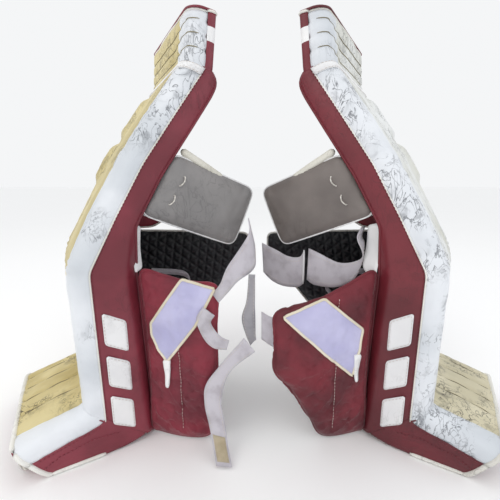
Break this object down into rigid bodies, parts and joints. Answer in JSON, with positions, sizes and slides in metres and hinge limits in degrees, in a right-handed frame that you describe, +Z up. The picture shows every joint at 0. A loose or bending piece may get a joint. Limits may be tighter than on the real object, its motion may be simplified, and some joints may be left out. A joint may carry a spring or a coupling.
{
  "type": "goalie leg pads",
  "caption": "Pair of ice-hockey goalie leg pads with hinged boots, knee blocks, calf wraps and wings, standing on their boots and leaning together",
  "frame": {"origin": "centre of the pair's box across and along the floor, at floor level", "axes": "+Z up; +X from the right-leg pad to the left-leg pad; -Y is the medial side that both pads turn to the viewer"},
  "size_m": [1.0752, 0.4314, 0.7952],
  "materials": {
    "foam": "closed-cell foam core, hidden",
    "white_face": "smooth white synthetic leather, scuffed",
    "boot_face": "cream synthetic leather, ribbed and scuffed",
    "white_panel": "white synthetic leather",
    "maroon_panel": "maroon synthetic leather, fine grain",
    "maroon_nylon": "maroon coated nylon, padded",
    "black_lining": "black quilted lining",
    "white_binding": "white binding",
    "grey_landing": "grey smooth landing skin",
    "white_gusset": "white gusset",
    "lace": "white lace",
    "loop_fabric": "pale hook-and-loop fabric",
    "webbing": "soft white webbing",
    "braided_cord": "braided cord"
  },
  "bodies": {
    "left_block": {"left_block_core": "foam", "left_block_face": "grey_landing", "left_block_gusset": "white_gusset", "left_block_laces": "lace", "left_block_tube": "white_gusset"},
    "left_boot": {"left_boot_core": "foam", "left_boot_face": "boot_face", "left_boot_gussets": "maroon_panel", "left_boot_sole": "maroon_panel", "left_toe_cap": "white_binding", "left_toe_tie": "braided_cord"},
    "left_pad": {"left_break_band": "white_face", "left_channel_liner": "black_lining", "left_knee_band": "webbing", "left_lateral_gusset": "maroon_panel", "left_main_core": "foam", "left_main_face": "white_face", "left_medial_gusset": "maroon_panel", "left_side_bars": "white_panel", "left_strap_end": "webbing"},
    "left_wing": {"left_calf_wing": "maroon_nylon", "left_wing_lining": "black_lining"},
    "left_wrap": {"left_calf_wrap": "maroon_nylon", "left_inner_strap": "webbing", "left_loop_patch": "loop_fabric", "left_patch_tab": "white_panel"},
    "left_knee_wing": {"left_knee_wing": "maroon_nylon"},
    "left_rise": {"left_rise_binding": "maroon_panel", "left_rise_core": "foam", "left_rise_face": "white_face"},
    "right_block": {"right_block_core": "foam", "right_block_face": "grey_landing", "right_block_gusset": "white_gusset", "right_block_laces": "lace", "right_block_tube": "white_gusset"},
    "right_boot": {"right_boot_core": "foam", "right_boot_face": "boot_face", "right_boot_gussets": "maroon_panel", "right_boot_sole": "maroon_panel", "right_toe_cap": "white_binding", "right_toe_tie": "braided_cord"},
    "right_pad": {"right_break_band": "white_face", "right_channel_liner": "black_lining", "right_lateral_gusset": "maroon_panel", "right_main_core": "foam", "right_main_face": "white_face", "right_medial_gusset": "maroon_panel", "right_side_bars": "white_panel"},
    "right_wrap": {"right_calf_strap": "webbing", "right_calf_wrap": "maroon_nylon", "right_knee_band": "webbing", "right_loop_patch": "loop_fabric", "right_padded_strap": "webbing", "right_patch_tab": "white_panel"},
    "right_wing": {"right_calf_wing": "maroon_nylon", "right_wing_lining": "black_lining"},
    "right_knee_wing": {"right_knee_wing": "maroon_nylon"},
    "right_rise": {"right_rise_binding": "maroon_panel", "right_rise_core": "foam", "right_rise_face": "white_face"}
  },
  "joints": [
    {"name": "pads_apart", "type": "slide", "parent": "left_pad", "child": "right_pad", "axis": [-1, 0, 0], "range_m": [0, 0.25]},
    {"name": "left_rise_flex", "type": "hinge", "parent": "left_pad", "child": "left_rise", "pos_m": [0.17026, 0.0748, 0.70261], "axis": [0.5, 0.866, 0], "range_deg": [-7, 7], "stiffness_Nm_per_rad": 6},
    {"name": "left_boot_flex", "type": "hinge", "parent": "left_pad", "child": "left_boot", "pos_m": [0.33131, -0.01818, 0.04915], "axis": [0.5, 0.866, 0], "range_deg": [-4, 4], "stiffness_Nm_per_rad": 150},
    {"name": "left_block_swing", "type": "hinge", "parent": "left_pad", "child": "left_block", "pos_m": [0.20325, -0.03431, 0.4977], "axis": [0.4539, -0.2621, -0.8516], "range_deg": [0, 15], "stiffness_Nm_per_rad": 4},
    {"name": "left_wrap_swing", "type": "hinge", "parent": "left_pad", "child": "left_wrap", "pos_m": [0.19859, -0.10321, 0.2], "axis": [0, 0, 1], "range_deg": [-10, 20], "stiffness_Nm_per_rad": 0.6},
    {"name": "left_wing_swing", "type": "hinge", "parent": "left_pad", "child": "left_wing", "pos_m": [0.30893, 0.1079, 0.2], "axis": [0, 0, -1], "range_deg": [0, 40], "stiffness_Nm_per_rad": 0.6},
    {"name": "left_knee_wing_swing", "type": "hinge", "parent": "left_pad", "child": "left_knee_wing", "pos_m": [0.32093, 0.12869, 0.4], "axis": [0, 0, -1], "range_deg": [0, 30], "stiffness_Nm_per_rad": 0.4},
    {"name": "right_rise_flex", "type": "hinge", "parent": "right_pad", "child": "right_rise", "pos_m": [-0.17026, 0.0748, 0.70261], "axis": [0.5, -0.866, 0], "range_deg": [-7, 7], "stiffness_Nm_per_rad": 6},
    {"name": "right_boot_flex", "type": "hinge", "parent": "right_pad", "child": "right_boot", "pos_m": [-0.33131, -0.01818, 0.04915], "axis": [0.5, -0.866, 0], "range_deg": [-4, 4], "stiffness_Nm_per_rad": 150},
    {"name": "right_block_swing", "type": "hinge", "parent": "right_pad", "child": "right_block", "pos_m": [-0.20325, -0.03431, 0.4977], "axis": [0.4539, 0.2621, 0.8516], "range_deg": [0, 15], "stiffness_Nm_per_rad": 4},
    {"name": "right_wrap_swing", "type": "hinge", "parent": "right_pad", "child": "right_wrap", "pos_m": [-0.19859, -0.10321, 0.2], "axis": [0, 0, -1], "range_deg": [-10, 20], "stiffness_Nm_per_rad": 0.6},
    {"name": "right_wing_swing", "type": "hinge", "parent": "right_pad", "child": "right_wing", "pos_m": [-0.30893, 0.1079, 0.2], "axis": [0, 0, 1], "range_deg": [0, 40], "stiffness_Nm_per_rad": 0.6},
    {"name": "right_knee_wing_swing", "type": "hinge", "parent": "right_pad", "child": "right_knee_wing", "pos_m": [-0.32093, 0.12869, 0.4], "axis": [0, 0, 1], "range_deg": [0, 30], "stiffness_Nm_per_rad": 0.4}
  ]
}
